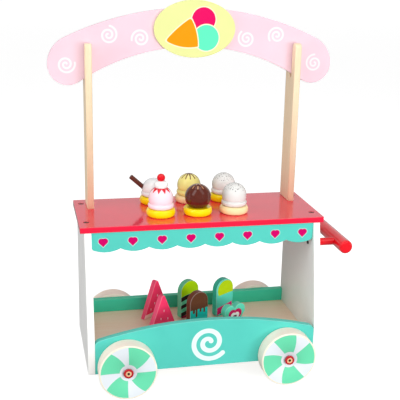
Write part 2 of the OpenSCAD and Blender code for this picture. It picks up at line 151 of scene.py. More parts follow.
def quads(rows, columns, first=0):
    """Quads of a grid whose points are numbered row by row, closed round its columns."""
    i = np.arange(rows - 1)[:, None] * columns
    j = np.arange(columns)[None, :]
    k = (j + 1) % columns
    return (np.stack([i + j, i + k, i + columns + k, i + columns + j], -1) + first).reshape(-1, 4)


def slab(outline, depth, edge, place, holes=(), steps=4):
    """Points, faces, normals and wear of a flat board with rounded edges.

    Each loop is inset by edge (1 - sin a) and moved in by edge (1 - cos a) as a runs from 0
    to 90 degrees, at both faces. place turns (u, v, w) into a point in metres, with w running
    from -depth at the back to 0 at the front. Holes are clockwise outlines."""
    a = np.radians(np.linspace(0, 90, steps + 1))
    inset = edge * (1 - np.sin(a))
    rise = edge * (1 - np.cos(a))
    inset = np.concatenate([inset, inset[::-1]])
    height = np.concatenate([rise - depth, -rise[::-1]])
    tilt = np.concatenate([a, np.pi - a[::-1]])
    points, normals, wear, faces, rims, first = [], [], [], [], [], 0
    for loop in [outline, *holes]:
        out = outward(loop)
        flat = loop[None] - inset[:, None, None] * out[None]
        up = np.broadcast_to(height[:, None, None], flat.shape[:2] + (1,))
        points.append(np.concatenate([flat, up], -1).reshape(-1, 3))
        unit = out / np.linalg.norm(out, axis=1)[:, None]
        lean = np.sin(tilt)[:, None, None] * unit[None]
        face = np.broadcast_to(-np.cos(tilt)[:, None, None], up.shape)
        normals.append(np.concatenate([lean, face], -1).reshape(-1, 3))
        wear.append(np.repeat(np.abs(np.sin(2 * tilt)), len(loop)))
        rows = len(height)
        faces.append(quads(rows, len(loop), first=first))
        rims.append((first, first + (rows - 1) * len(loop), len(loop)))
        first += rows * len(loop)
    points = np.concatenate(points)
    for side in (0, 1):
        index = np.concatenate([np.arange(rim[side], rim[side] + rim[2]) for rim in rims])
        loops = [[(u, v, 0.0) for u, v in points[rim[side]:rim[side] + rim[2], :2]] for rim in rims]
        cap = index[np.array(tessellate_polygon(loops))]
        corner = points[cap][:, :, :2]
        one, two = corner[:, 1] - corner[:, 0], corner[:, 2] - corner[:, 0]
        turned_up = one[:, 0] * two[:, 1] - one[:, 1] * two[:, 0] > 0
        cap[turned_up != bool(side)] = cap[turned_up != bool(side)][:, ::-1]
        faces.append(cap)
    u, v, w, origin = place
    turn = np.stack([u, v, w])
    faces = [tuple(f) for group in faces for f in group.tolist()]
    return points @ turn + origin, faces, np.concatenate(normals) @ turn, np.concatenate(wear)


def facing_front(y):
    """Place of a board that lies across the cart, with its front face at y."""
    return X, Z, -Y, np.array([0, y, 0])


def facing_right(x):
    """Place of a board that lies along the side, with its right face at x."""
    return Y, Z, X, np.array([x, 0, 0])


def facing_up(z):
    """Place of a level board with its upper face at z."""
    return X, Y, Z, np.array([0, 0, z])


def board(name, outline, depth, place, edge=1.2 * MM, holes=()):
    """A board piece from its outline."""
    return new_piece(name, *slab(outline, depth, edge, place, holes))


def ring_frame(axis):
    """Two directions at right angles to an axis, right-handed with it."""
    side = X if abs(axis[0]) < 0.9 else Y
    u = np.cross(side, axis)
    u /= np.linalg.norm(u)
    return u, np.cross(axis, u)


def ring_shape(points, normals, poles):
    """Points, faces and normals of rows of ring points, where a row at a pole is one point."""
    rows, steps = points.shape[:2]
    merged = np.arange(rows * steps)
    for row in poles:
        first = row % rows * steps
        merged[first:first + steps] = first
    kept, faces = np.unique(merged[quads(rows, steps)], return_inverse=True)
    faces = [tuple(dict.fromkeys(f)) for f in faces.reshape(-1, 4).tolist()]
    return points.reshape(-1, 3)[kept], faces, normals.reshape(-1, 3)[kept]


def turning(profile, centre, axis=Z, steps=96):
    """Points, faces and normals of a turned shape.

    A profile of (radius, height) goes round the axis: centre + height axis + radius
    (cos a u + sin a v). Where the profile reaches the axis, its ring becomes one point.
    A normal is the mean of the two profile sides that meet, weighted by their lengths."""
    profile = np.asarray(profile, float)
    u, v = ring_frame(axis)
    side = np.diff(profile, axis=0)
    lean = np.column_stack([side[:, 1], -side[:, 0]])
    lean = np.vstack([lean[:1], lean[:-1] + lean[1:], lean[-1:]])
    lean /= np.linalg.norm(lean, axis=1)[:, None] + 1e-12
    a = np.linspace(0, 2 * np.pi, steps, endpoint=False)
    ring = np.cos(a)[:, None] * u + np.sin(a)[:, None] * v
    points = profile[:, None, :1] * ring[None] + profile[:, None, 1:] * axis + centre
    normals = lean[:, None, :1] * ring[None] + lean[:, None, 1:] * axis
    poles = [row for row in (0, -1) if profile[row, 0] < 1e-9]
    for row in poles:
        normals[row, 0] = axis if row else -axis
    return ring_shape(points, normals, poles)


def turned(name, profile, centre, axis=Z, steps=96):
    """A turned piece. Its profile starts and ends on the axis, or closes on itself."""
    return new_piece(name, *turning(profile, centre, axis, steps))


def join_shapes(name, shapes):
    """One piece from several (points, faces, normals, ...) shapes."""
    points, faces, normals, first = [], [], [], 0
    for shape in shapes:
        points.append(shape[0])
        faces += [tuple(i + first for i in face) for face in shape[1]]
        normals.append(shape[2])
        first += len(shape[0])
    return new_piece(name, np.concatenate(points), faces, np.concatenate(normals))


# ---- material maths

class Value:
    """A number that varies over a surface. Arithmetic on it adds Math nodes.

    Between distances, & is the larger, inside both shapes, and | the smaller, inside either."""

    def __init__(self, finish, socket):
        self.finish, self.socket = finish, socket

    def math(self, operation, *others, clamp=False):
        return self.finish.math(operation, self, *others, clamp=clamp)

    def __rsub__(self, other):
        return self.finish.math("SUBTRACT", other, self)

    def __neg__(self):
        return self * -1.0

    def __abs__(self):
        return self.math("ABSOLUTE")


def operator_for(operation):
    """A two-sided operator that adds one Math node."""
    return lambda value, other: value.math(operation, other)


for sign, operation in (("add", "ADD"), ("radd", "ADD"), ("sub", "SUBTRACT"), ("mul", "MULTIPLY"),
                        ("rmul", "MULTIPLY"), ("truediv", "DIVIDE"), ("mod", "FLOORED_MODULO"),
                        ("and", "MAXIMUM"), ("or", "MINIMUM")):
    setattr(Value, "__%s__" % sign, operator_for(operation))


def srgb(red, green, blue):
    """Linear colour of three display values from 0 to 255."""
    c = np.array([red, green, blue]) / 255
    linear = np.where(c <= 0.04045, c / 12.92, ((c + 0.055) / 1.055) ** 2.4)
    return (*linear.tolist(), 1.0)


def shade(colour, share):
    """A colour darkened to a share of itself."""
    return tuple(c * share for c in colour[:3]) + (1.0,)


class Finish:
    """A material under construction on one Principled shader."""

    def __init__(self, name, **constants):
        self.material = bpy.data.materials.new(name)
        self.material.use_nodes = True
        self.tree = self.material.node_tree
        self.shader = self.tree.nodes["Principled BSDF"]
        for socket, value in constants.items():
            self.shader.inputs[socket.replace("_", " ")].default_value = value

    def add(self, kind, settings=None, sockets=None):
        """Adds a node: its settings first, then the values or links of its sockets."""
        node = self.tree.nodes.new("ShaderNode" + kind)
        for key, value in (settings or {}).items():
            setattr(node, key, value)
        for key, value in (sockets or {}).items():
            self.feed(node.inputs[key], value)
        return node

    def feed(self, socket, value):
        """Links a socket to a value or sets it."""
        value = value.socket if isinstance(value, Value) else value
        if isinstance(value, bpy.types.NodeSocket):
            self.tree.links.new(value, socket)
        else:
            socket.default_value = value

    def math(self, operation, *values, clamp=False):
        node = self.add("Math", {"operation": operation, "use_clamp": clamp}, dict(enumerate(values)))
        return Value(self, node.outputs[0])

    def coordinates(self, centre=(0, 0, 0), turn=0.0):
        """x, y and z about a centre in millimetres, turned about the vertical by degrees."""
        where = self.add("TexCoord").outputs["Object"]
        mapped = self.add("Mapping", {"vector_type": "TEXTURE"}, {
            "Vector": where, "Location": tuple(centre), "Scale": (MM, MM, MM),
            "Rotation": (0, 0, np.radians(turn))}).outputs[0]
        split = self.add("SeparateXYZ", None, {0: mapped})
        return [Value(self, socket) for socket in split.outputs]

    def vector(self, x, y, z):
        return self.add("CombineXYZ", None, {0: x, 1: y, 2: z}).outputs[0]

    def noise(self, vector, scale, detail=2.0, distortion=0.0):
        """Noise about 0.5 with features of 1 / scale, in the vector's own units."""
        return Value(self, self.add("TexNoise", None, {
            "Vector": vector, "Scale": scale, "Detail": detail,
            "Distortion": distortion}).outputs[0])

    def mix(self, factor, first, second, blend="MIX"):
        """A colour between two, or one laid on another by a blend mode."""
        return self.add("Mix", {"data_type": "RGBA", "blend_type": blend},
                        {0: factor, 6: first, 7: second}).outputs[2]

    def bump(self, height, distance):
        """Feeds the shader's normal from a height of 0 to 1 times a distance in metres."""
        node = self.add("Bump", None, {"Height": height, "Distance": distance, "Strength": 1.0})
        self.feed(self.shader.inputs["Normal"], node.outputs[0])

    def surface(self, colour, rough):
        """Feeds the shader's colour and roughness."""
        self.feed(self.shader.inputs["Base Color"], colour)
        self.feed(self.shader.inputs["Roughness"], rough)

    def inside(self, distance, blur):
        """1 inside a shape and 0 outside it, from its distance in millimetres."""
        return self.math("SUBTRACT", 0.5, distance / blur, clamp=True)

    def stamp(self, ground, shape, blur, colour):
        """A colour laid on the ground inside a shape."""
        return self.mix(self.inside(shape, blur), ground, colour)

    def edge(self):
        """1 on a board's rounded edges and 0 on its faces."""
        wear = self.add("Attribute", {"attribute_name": "edge"})
        return Value(self, wear.outputs["Fac"])


def disc(x, z, centre, radius):
    """Distance to a disc: the length of (x, z) from its centre less its radius."""
    dx, dz = x - centre[0], z - centre[1]
    return (dx * dx + dz * dz).math("SQRT") - radius


def heart(x, z, size):
    """Distance to a heart with its tip at zero: two discs on a square standing on its corner."""
    side = abs(x)
    lobe = disc(side, z, (0.25 * size, 0.75 * size), size * 0.3536)
    square = (side + abs(z - 0.5 * size) - 0.5 * size) * 0.7071
    return lobe | square


def spiral(x, z, start, growth, first, last, stroke):
    """Distance to a stroke along the spiral radius = start + growth * angle.

    The nearest turn is the rounded number of turns by which the radius is ahead of the
    angle there. Beyond the first and last angle only the round ends are left."""
    radius = (x * x + z * z).math("SQRT")
    angle = z.math("ARCTAN2", x)
    pitch = 2 * np.pi * growth
    ahead = (radius - start) / pitch - angle / (2 * np.pi)
    turn = ahead.math("ROUND")
    along = angle + turn * (2 * np.pi)
    body = abs(ahead - turn) * pitch - stroke / 2
    shape = body & ((first - along) & (along - last)) * 1000.0
    for a in (first, last):
        r = start + growth * a
        shape = shape | disc(x, z, (r * np.cos(a), r * np.sin(a)), stroke / 2)
    return shape


# ---- finishes

def painted(name, colour, gloss=0.3, coat=0.04, grain=(1, 1, 1), print_on=None, orange_peel=0.5,
            centre=(0, 0, 0), turn=0.0):
    """Sprayed paint on sanded wood.

    The colour drifts by a few percent, thins to a lighter tone on the edges, and the
    surface has fine spray texture over faint grain. print_on lays printed shapes on it."""
    finish = Finish(name, Coat_Weight=coat, Coat_Roughness=0.08, Specular_IOR_Level=0.12)
    x, y, z = finish.coordinates(centre, turn)
    along = finish.vector(x * grain[0], y * grain[1], z * grain[2])
    plain = finish.vector(x, y, z)
    cloud = finish.noise(plain, 0.02, 3.0)
    fibre = finish.noise(along, 0.35, 4.0)
    spray = finish.noise(plain, 0.9, 2.0)
    drift = finish.mix(cloud, shade((1, 1, 1), 0.93), shade((1, 1, 1), 1.05))
    ground = finish.mix(1.0, colour, drift, "MULTIPLY")
    if print_on is not None:
        ground = print_on(finish, x, y, z, ground)
    rubbed = finish.edge() * (0.04 + 0.12 * finish.noise(plain, 0.15, 3.0))
    rough = gloss + 0.12 * (spray - 0.5) + 0.1 * (cloud - 0.5)
    finish.surface(finish.mix(rubbed, ground, (1, 1, 1, 1)), rough)
    finish.bump(spray * orange_peel + fibre * 0.5, 0.06 * MM)
    return finish.material


def bare_wood(name, light, dark, grain):
    """Lacquered pale wood: long fibres, soft growth bands and short dark pores.

    grain names the axis that the fibres run along: distances along it are shrunk, so that
    the noise is drawn out into streaks."""
    finish = Finish(name, Coat_Weight=0.15, Coat_Roughness=0.2)
    shrink = np.where(np.array(list("xyz")) == grain, 0.06, 1.0)
    drawn = [way * share for way, share in zip(finish.coordinates(), shrink)]
    along = finish.vector(*drawn)
    bend = finish.noise(along, 0.05, 2.0)
    band = finish.noise(along, 0.09, 3.0, 1.5)
    fibre = finish.noise(along, 1.1, 4.0)
    pores = finish.noise(finish.vector(*[way * 1.6 for way in drawn]), 1.3, 1.0)
    pore = (pores - 0.66).math("MULTIPLY", 9.0, clamp=True)
    tone = (band * 0.75 + fibre * 0.45 + bend * 0.3 - 0.28).math("MULTIPLY", 1.0, clamp=True)
    ground = finish.mix(pore * 0.35, finish.mix(tone, light, dark), shade(dark, 0.55))
    finish.surface(ground, 0.45 + 0.2 * (fibre - 0.5))
    finish.bump(fibre * 0.6 - pore * 0.7, 0.12 * MM)
    return finish.material


def plated_steel(name, colour):
    """Zinc-plated steel with fine turning marks and a slight bloom."""
    finish = Finish(name, Metallic=1.0)
    x, y, z = finish.coordinates()
    marks = finish.noise(finish.vector(x * 4, y * 4, z), 1.2, 3.0)
    bloom = finish.noise(finish.vector(x, y, z), 0.25, 2.0)
    finish.surface(finish.mix(bloom, colour, shade(colour, 0.7)), 0.32 + 0.2 * (marks - 0.5))
    finish.bump(marks, 0.03 * MM)
    return finish.material


WHITE = srgb(250, 250, 248)
CRIMSON = srgb(238, 18, 62)
TURQUOISE = srgb(88, 202, 188)
TEAL = srgb(66, 204, 166)
MINT = srgb(106, 218, 172)
MAGENTA = srgb(228, 0, 96)
PALE = srgb(250, 240, 232)
PINK = srgb(240, 207, 219)
LIME_CREAM = srgb(228, 232, 156)
ORANGE = srgb(255, 152, 0)
YELLOW = srgb(255, 226, 0)
PEACH = srgb(255, 228, 174)
LIME = srgb(162, 206, 0)
BLACK = srgb(20, 12, 10)
RED = srgb(232, 10, 30)


# ---- the cart's boards

COUNTER_LOW, COUNTER_HIGH = span("counter_top")
COUNTER = COUNTER_HIGH[2]
CENTRE = (COUNTER_LOW + COUNTER_HIGH) / 2
FRONT_LOW, FRONT_HIGH = span("front_panel")
AXLE = span("wheel_front_left")[1][2] / 2
ARCH_OUTER, ARCH_INNER, SHOULDER = 610 * MM, 429 * MM, 60 * MM
ARCH_LOW, ARCH_HIGH = span("arch_board")
ARCH_HALF = (ARCH_HIGH[0] - ARCH_LOW[0]) / 2
ARCH_OUTER_CENTRE = ARCH_HIGH[2] - ARCH_OUTER
ARCH_INNER_CENTRE = COUNTER + 332 * MM - ARCH_INNER
SCREW_HEAD = 5 * MM

# Rear ends of the prints' front faces, in millimetres behind the counter's middle.
PANEL_PRINT, VALANCE_PRINT, ARCH_PRINT = -134.0, -92.0, 48.5

def finish_piece(piece, node, material):
    """Gives a piece its material and body, and lets it stand for its CAD node."""
    piece.data.materials.append(material)
    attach(piece, body_of(node))
    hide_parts(node)


def cross_board(name, node, outline, material, edge=1.2 * MM):
    """A board that lies across the cart, between its CAD node's front and back faces."""
    low, high = span(node)
    piece = board(name, outline, high[1] - low[1], facing_front(low[1]), edge)
    finish_piece(piece, node, material)


def across_paint(name, colour, gloss, print_on=None, height=0):
    """Paint of a board across the cart, its print measured from the counter's middle."""
    return painted(name, colour, gloss=gloss, grain=(0.1, 1, 1), print_on=print_on,
                   centre=(CENTRE[0], CENTRE[1], height))


def screw_places():
    """Middles of the counter's four screw heads."""
    low, high = span("counter_screws")
    r = SCREW_HEAD
    return [(x, y) for x in (low[0] + r, high[0] - r) for y in (low[1] + r, high[1] - r)]


def make_counter():
    """The counter board, with a countersunk hole round each screw head."""
    holes = [circle(place, SCREW_HEAD + 0.9 * MM)[::-1] for place in screw_places()]
    outline = rectangle(COUNTER_LOW[:2], COUNTER_HIGH[:2], 2 * MM)
    piece = board("counter_board", outline, COUNTER_HIGH[2] - COUNTER_LOW[2],
                  facing_up(COUNTER), 0.9 * MM, holes)
    paint = painted("crimson_counter_paint", CRIMSON, gloss=0.22, coat=1.0, grain=(0.1, 1, 1))
    finish_piece(piece, "counter_top", paint)


def cross_outline(centre, reach, arm):
    """Outline of a cross recess: four arms of a given reach and half width."""
    q = np.array([(reach, -arm), (reach, arm), (arm, arm)])
    turns = [np.array([[c, s], [-s, c]]) for c, s in ((1, 0), (0, 1), (-1, 0), (0, -1))]
    return np.concatenate([q @ t for t in turns]) + centre


def make_screws():
    """Screw heads with a cross recess, sunk a little under the counter's face."""
    shapes = []
    top, recess = COUNTER - 0.35 * MM, 1.4 * MM
    shank = np.array([(0, -38), (2, -34), (2, -5.4), (4.6, -2.5), (0, -2.5)]) * MM
    for place in screw_places():
        cross = cross_outline(np.array(place), 2.7 * MM, 0.55 * MM)[::-1]
        head = circle(place, SCREW_HEAD)
        shapes += [slab(head, recess, 0.25 * MM, facing_up(top), [cross], 3)[:3],
                   slab(head, 1.0 * MM, 0.2 * MM, facing_up(top - recess), (), 3)[:3],
                   turning(shank, np.array([*place, COUNTER]), steps=32)]
    piece = join_shapes("counter_screw_heads", shapes)
    steel = plated_steel("dark_screw_steel", srgb(150, 72, 74))
    finish_piece(piece, "counter_screws", steel)


def panel_outline(node):
    """A side panel in (y, z): slanted front edge above the knee, upright foot and back."""
    low, high = span(node)
    knee = 117 * MM
    top_front = COUNTER_LOW[1]
    return rounded([(low[1], low[2]), (high[1], low[2]), (high[1], high[2]),
                    (top_front, high[2]), (low[1], knee)], [1.5 * MM] * 4 + [3 * MM])


def make_side_boards(name, outline_of, edge, material):
    """The left and right board of a pair that lies along the sides."""
    for side in ("left", "right"):
        node = name[0] + side
        low, high = span(node)
        piece = board(name[1] % node, outline_of(node), high[0] - low[0], facing_right(high[0]), edge)
        finish_piece(piece, node, material)


def make_side_panels():
    paint = painted("white_panel_paint", WHITE, gloss=0.34, grain=(1, 0.1, 1))
    make_side_boards(("side_panel_", "%s_board"), panel_outline, 1.3 * MM, paint)


def front_outline():
    """The arched front panel in (x, z): a shallow arc between two rounded corners."""
    low, high = FRONT_LOW, FRONT_HIGH
    middle_x, half = (low[0] + high[0]) / 2, (high[0] - low[0]) / 2
    arch, corner = 855 * MM, 12 * MM
    centre_z = high[2] - arch
    corner_x = half - corner
    corner_z = centre_z + np.sqrt((arch - corner) ** 2 - corner_x ** 2)
    lean = np.degrees(np.arctan2(corner_z - centre_z, corner_x))
    right = arc((corner_x, corner_z), corner, 0, lean, 8)
    crown = arc((0, centre_z), arch, lean, 180 - lean, 64)[1:-1]
    left = right[::-1] * (-1, 1)
    foot = [(-half, low[2]), (half, low[2])]
    return path(right, crown, left, foot) + (middle_x, 0)


def front_print(finish, x, y, z, ground):
    """One white swirl in the middle of the panel's front face."""
    swirl = spiral(x - 3.3, z - 94.0, 3.7, 2.9, np.radians(37), np.radians(680), 10.0)
    mask = finish.inside(swirl, 0.6) * finish.inside(y - PANEL_PRINT, 0.5)
    return finish.mix(mask, ground, srgb(228, 246, 243))


def make_front_panel():
    paint = across_paint("turquoise_front_paint", TURQUOISE, 0.3, front_print)
    cross_board("front_panel_board", "front_panel", front_outline(), paint)


def make_back_rail():
    low, high = span("back_rail")
    paint = painted("teal_rail_paint", TEAL, grain=(0.1, 1, 1))
    outline = rectangle(low[[0, 2]], high[[0, 2]])
    cross_board("back_rail_board", "back_rail", outline, paint)


def make_shelf():
    low, high = span("shelf_board")
    outline = rectangle(low[:2], high[:2], 0.5 * MM)
    piece = board("shelf_plywood", outline, high[2] - low[2], facing_up(high[2]), 0.6 * MM)
    wood = bare_wood("shelf_birch", srgb(255, 240, 216), srgb(248, 218, 182), "x")
    finish_piece(piece, "shelf_board", wood)


def valance_outline(low, high):
    """The valance in (x, z): eight hanging arcs under a straight top, rounded at both ends."""
    count, depth, corner = 8, 7 * MM, 6 * MM
    half = (high[0] - low[0]) / 2
    pitch = 2 * half / count
    radius = ((pitch / 2) ** 2 + depth ** 2) / (2 * depth)
    x = np.linspace(-half, half, count * 24 + 1)
    away = (x + half) % pitch - pitch / 2
    away[-1] = pitch / 2
    z = low[2] + radius - np.sqrt(radius ** 2 - away ** 2)
    drop = np.sqrt(radius ** 2 - (pitch / 2 - corner) ** 2)
    corner_z = low[2] + radius - drop + corner
    beyond = np.clip(np.abs(x) - half + corner, 0, corner)
    z = np.where(np.abs(x) > half - corner, corner_z - np.sqrt(corner ** 2 - beyond ** 2), z)
    outline = path(np.column_stack([x, z]), [(half, high[2]), (-half, high[2])])
    return outline + ((low[0] + high[0]) / 2, 0)


def valance_print(finish, x, y, z, ground):
    """A magenta heart with a pale outline over each scallop."""
    pitch = 58.6
    across = x % pitch - pitch / 2
    shape = heart(across, z + 40.2, 13.6) - 1.3
    front = finish.inside(y - VALANCE_PRINT, 0.5)
    ground = finish.mix(finish.inside(shape - 1.3, 0.8) * front * 0.5, ground, srgb(214, 240, 232))
    return finish.mix(finish.inside(shape, 0.5) * front, ground, srgb(206, 0, 100))


def make_valance():
    paint = across_paint("turquoise_valance_paint", TURQUOISE, 0.3, valance_print, COUNTER)
    cross_board("scalloped_valance", "valance", valance_outline(*span("valance")), paint,
                1.0 * MM)


def post_outline(node):
    """A forked post in (y, z): round-topped front tongue, slot for the arched board, and a
    back tongue rounded at its outer corner."""
    low, high = span(node)
    slot_back, slot_front = ARCH_HIGH[1], ARCH_LOW[1] - 1.2 * MM
    tongue = 10 * MM
    floor = ARCH_INNER_CENTRE + np.sqrt(ARCH_INNER ** 2 - (225 * MM) ** 2) - 0.4 * MM
    rear, ahead, before = [
        arc((y, high[2] - tongue), tongue, start, start + 90, 8)
        for y, start in ((high[1] - tongue, 0), (slot_front - tongue, 0), (low[1] + tongue, 90))]
    return path([(low[1], low[2]), (high[1], low[2])], rear, [(slot_back, high[2]),
                           (slot_back, floor), (slot_front, floor)], ahead, before)


def arch_outline():
    """The arched board in (x, z): outer arc, shoulders, lobes and inner arc, all tangent."""
    shoulder_x = ARCH_HALF - SHOULDER
    shoulder_z = ARCH_OUTER_CENTRE + np.sqrt((ARCH_OUTER - SHOULDER) ** 2 - shoulder_x ** 2)
    rise = shoulder_z - ARCH_INNER_CENTRE
    lobe = (ARCH_HALF ** 2 + rise ** 2 - ARCH_INNER ** 2) / (2 * (ARCH_HALF + ARCH_INNER))
    lobe_x = ARCH_HALF - lobe
    lean = np.degrees(np.arctan2(shoulder_z - ARCH_OUTER_CENTRE, shoulder_x))
    foot = np.degrees(np.arctan2(rise, lobe_x))
    crown = arc((0, ARCH_OUTER_CENTRE), ARCH_OUTER, lean, 180 - lean, 96)
    left = path(
        arc((-shoulder_x, shoulder_z), SHOULDER, 180 - lean, 180, 14)[1:],
        arc((-lobe_x, shoulder_z), lobe, 180, 360 - foot, 28)[1:])
    under = arc((0, ARCH_INNER_CENTRE), ARCH_INNER, 180 - foot, foot, 72)[1:]
    right = left[::-1] * (-1, 1)
    outline = path(crown, left, under, right[1:])
    return outline + ((ARCH_LOW[0] + ARCH_HIGH[0]) / 2, 0)


def arch_print(finish, x, y, z, ground):
    """Six pale swirls, three on each half, each turned by its own angle."""
    front = finish.inside(y - ARCH_PRINT, 0.5)
    swirls = ((-261, 297.3, 20, 1), (-175.8, 355.2, 90, 1), (-110.8, 348.4, 200, 1),
              (110.8, 348.4, 120, -1), (175.8, 355.2, 225, 1), (261, 297.3, 80, -1))
    shape = None
    for u, v, turn, hand in swirls:
        a, b = x - u, z - v
        c, s = np.cos(np.radians(turn)), np.sin(np.radians(turn))
        along, across = a * c + b * s, (b * c - a * s) * hand
        one = spiral(along, across, 1.8, 1.32, 0.4, 12.4, 4.0)
        shape = one if shape is None else shape | one
    return finish.mix(finish.inside(shape, 1.2) * front * 0.6, ground, WHITE)


def make_arch():
    paint = across_paint("pink_arch_paint", PINK, 0.38, arch_print, COUNTER)
    cross_board("arched_sign_board", "arch_board", arch_outline(), paint)


def sign_print(finish, x, y, z, ground):
    """A cone with two scoops: three shapes with pale outlines, from arcs and discs."""
    tip, top, foot = (-60.5, 344.6), (-9.0, 389.8), (6.6, 332.6)

    def bowed(first, second, radius):
        """Distance inside a large disc whose rim runs through two points."""
        first, second = np.array(first), np.array(second)
        chord = second - first
        length = np.linalg.norm(chord)
        away = np.array([-chord[1], chord[0]]) / length
        centre = (first + second) / 2 + away * np.sqrt(radius ** 2 - (length / 2) ** 2)
        return disc(x, z, centre, radius)

    cone = bowed(tip, foot, 95.0).math("SMOOTH_MAX", bowed(foot, top, 110.0), 3.0)
    cone = cone.math("SMOOTH_MAX", bowed(top, tip, 230.0), 9.0)
    mint = disc(x, z, (23.8, 350.2), 26.0)
    magenta = disc(x, z, (17.8, 386.8), 24.6)
    shapes = ((magenta, MAGENTA), (mint, srgb(96, 232, 186)), (cone, ORANGE))
    for shape, colour in shapes:
        ground = finish.stamp(ground, shape - 2.2, 0.6, srgb(250, 246, 205))
        ground = finish.stamp(ground, shape, 0.5, colour)
    return ground


def make_sign():
    low, high = span("oval_sign")
    centre, half = (low + high) / 2, (high - low) / 2
    oval = circle((0, 0), 1, 180) * half[[0, 2]] + centre[[0, 2]]
    paint = across_paint("lime_cream_sign_paint", LIME_CREAM, 0.3, sign_print, COUNTER)
    cross_board("oval_sign_board", "oval_sign", oval, paint, 0.9 * MM)


def make_posts():
    wood = bare_wood("post_beech", srgb(255, 240, 210), srgb(240, 208, 164), "z")
    make_side_boards(("post_", "forked_%s"), post_outline, 2.2 * MM, wood)


# ---- handle

def make_handle():
    low, high = span("handle_bar")
    centre = middle("handle_bar")
    radius, half, round_off = (high[0] - low[0]) / 2, (high[1] - low[1]) / 2, 6 * MM
    start = arc((radius - round_off, -half + round_off), round_off, -90, 0, 10)
    end = arc((radius - round_off, half - round_off), round_off, 0, 90, 10)
    profile = path((0, -half), start, end, (0, half))
    paint = painted("red_handle_paint", RED, gloss=0.18, coat=1.0, grain=(1, 0.1, 1))
    finish_piece(turned("push_bar", profile, centre, Y), "handle_bar", paint)
    make_struts(paint, centre, radius)


def make_struts(paint, bar, bar_radius):
    """Two round struts whose ends follow the bar: x = bar axis - sqrt(R^2 - z^2)."""
    low, high = span("handle_struts")
    radius = (high[2] - low[2]) / 2
    shapes, steps = [], 64
    a = np.linspace(0, 2 * np.pi, steps, endpoint=False)
    reach = bar[0] - np.sqrt(bar_radius ** 2 - (radius * np.sin(a)) ** 2) + 0.3 * MM
    rows = [(low[0] + 0 * a, 0), (low[0] + 0 * a, radius), (reach, radius), (reach.mean() + 0 * a, 0)]
    round_way = np.column_stack([0 * a, np.cos(a), np.sin(a)])
    normals = np.stack([0 * round_way - X, round_way, round_way, 0 * round_way + X])
    for y in (low[1] + radius, high[1] - radius):
        points = np.stack([np.column_stack([x, y + r * np.cos(a), bar[2] + r * np.sin(a)])
                           for x, r in rows])
        shapes.append(ring_shape(points, normals, (0, -1)))
    finish_piece(join_shapes("push_bar_struts", shapes), "handle_struts", paint)


def make_handle_bolts():
    """Domed bolt heads on the inner face of the right side panel."""
    low, high = span("handle_bolts")
    z = (low[2] + high[2]) / 2
    radius, depth, soft = 4 * MM, 2.4 * MM, 1.4 * MM
    rim = arc((radius - soft, depth - soft), soft, -45, 90, 6)
    profile = path((0, 0), rim, (0, depth))
    shapes = [turning(profile, np.array([low[0] + depth, y, z]), -X, 40)
              for y in (low[1] + radius, high[1] - radius)]
    finish_piece(join_shapes("handle_bolt_heads", shapes), "handle_bolts",
                 plated_steel("bolt_steel", srgb(70, 66, 66)))


# ---- wheels

def wheel_paint(name, centre, out, turn):
    """White wheel face with four curved green sectors, cream rim and bare wood tread.

    A sector's two edges are curved: start and width change evenly from its inner radius out."""
    finish = Finish(name, Coat_Weight=0.15, Coat_Roughness=0.15, Specular_IOR_Level=0.25)
    x, y, z = finish.coordinates(centre)
    radius = (x * x + z * z).math("SQRT")
    angle = z.math("ARCTAN2", x * float(-out)) * (180 / np.pi)
    share = (radius - 17.0) / 38.0
    sector = (angle - (21.8 + turn + share * 16.0)) % 90.0
    reach = radius * (np.pi / 180)
    gap = (sector - (65.3 - share * 13.2)) * reach
    green = gap & (17.5 - radius) & (radius - 54.6) & (-sector * reach)
    face = finish.inside(15.2 - y * float(out), 0.4)
    grain = finish.noise(finish.vector(x * 0.15, y, z * 0.15), 0.9, 3.0)
    tread = finish.mix(grain, srgb(255, 247, 236), srgb(252, 230, 210))
    spray = finish.noise(finish.vector(x, y, z), 0.9, 2.0)
    white = finish.mix(finish.inside(radius - 54.8, 0.4), srgb(244, 236, 216), srgb(226, 233, 238))
    colour = finish.mix(finish.inside(green, 0.5), white, MINT)
    outline = finish.inside(abs(green) - 0.35, 0.5) * 0.35
    colour = finish.mix(outline, colour, srgb(90, 190, 150))
    finish.surface(finish.mix(face, tread, colour), 0.5 - face * 0.18 + 0.12 * (spray - 0.5))
    finish.bump(spray * 0.4 + grain * 0.6, 0.08 * MM)
    return finish.material


def wheel_profile(thickness, radius):
    """Half section of a wheel about its axle, rounded at both rims."""
    soft, bore = 2 * MM, 4.2 * MM
    half = thickness / 2
    inner = arc((radius - soft, -half + soft), soft, -90, 0, 6)
    outer = arc((radius - soft, half - soft), soft, 0, 90, 6)
    return path((bore, -half), inner, outer, [(bore, half), (bore, -half)])


WHEEL_TURNS = {"front_left": 0.0, "front_right": 39.3, "back_left": 12.0, "back_right": 64.0}


def make_wheels():
    for place, turn in WHEEL_TURNS.items():
        node = "wheel_" + place
        low, high = span(node)
        out = -Y if place.startswith("front") else Y
        centre = middle(node)
        centre[2] = AXLE
        piece = turned("disc_" + node, wheel_profile(high[1] - low[1], AXLE), centre, out, 160)
        paint = wheel_paint("sector_paint_" + place, centre, out[1], turn)
        finish_piece(piece, node, paint)


